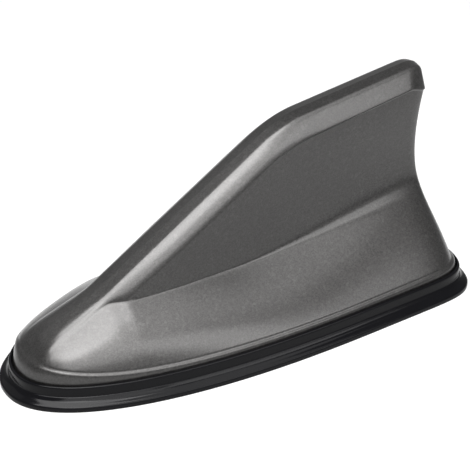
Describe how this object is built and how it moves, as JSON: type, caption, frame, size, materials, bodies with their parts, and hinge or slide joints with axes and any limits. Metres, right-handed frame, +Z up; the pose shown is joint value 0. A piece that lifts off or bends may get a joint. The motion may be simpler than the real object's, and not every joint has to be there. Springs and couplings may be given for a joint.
{
  "type": "shark fin roof aerial",
  "caption": "Shark fin roof aerial for a car: painted fin cover on a rubber skirt, with base plate, circuit board, coil and top-loaded radiator inside.",
  "frame": {"origin": "middle of the rubber skirt's footprint, on the roof plane at the underside of the skirt", "axes": "+X from the nose towards the tail, +Y to the right-hand side of a car driving towards -X, +Z up from the roof"},
  "size_m": [0.155, 0.0696, 0.0697],
  "materials": {
    "painted_cover": "metallic grey paint under clear coat on moulded plastic",
    "skirt_rubber": "smooth satin rubber",
    "base_plastic": "fine moulded grain",
    "pad_foam": "matt foam tape",
    "zinc_steel": "zinc plated",
    "tinned_steel": "tinned sheet",
    "board_laminate": "green solder mask",
    "chip_black": "moulded epoxy",
    "ceramic_tan": "fired ceramic",
    "ferrite_grey": "dark ferrite",
    "can_aluminium": "drawn can",
    "socket_brass": "thin gold flash",
    "white_insulator": "waxy white",
    "header_nylon": "natural nylon",
    "enamelled_copper": "clear enamel on copper wire",
    "soft_foam": "open foam"
  },
  "bodies": {
    "root": {"fin_cover": "painted_cover", "base_gasket": "skirt_rubber", "base_plate": "base_plastic", "adhesive_pad": "pad_foam", "cover_screws": "zinc_steel", "earth_plate": "tinned_steel", "amplifier_board": "board_laminate", "board_screws": "zinc_steel", "shield_frame": "tinned_steel", "shield_lid": "tinned_steel", "amplifier_chip": "chip_black", "voltage_regulator": "chip_black", "chip_capacitors": "ceramic_tan", "chip_inductors": "ferrite_grey", "smoothing_capacitor": "can_aluminium", "capacitor_base": "chip_black", "socket_shell": "socket_brass", "socket_insulator": "white_insulator", "socket_pin": "socket_brass", "power_header": "header_nylon", "power_pins": "tinned_steel", "radiator_frame": "base_plastic", "coil_former": "header_nylon", "loading_coil": "enamelled_copper", "top_load_sheet": "tinned_steel", "feed_clip": "socket_brass", "anti_rattle_pad": "soft_foam"}
  },
  "joints": []
}
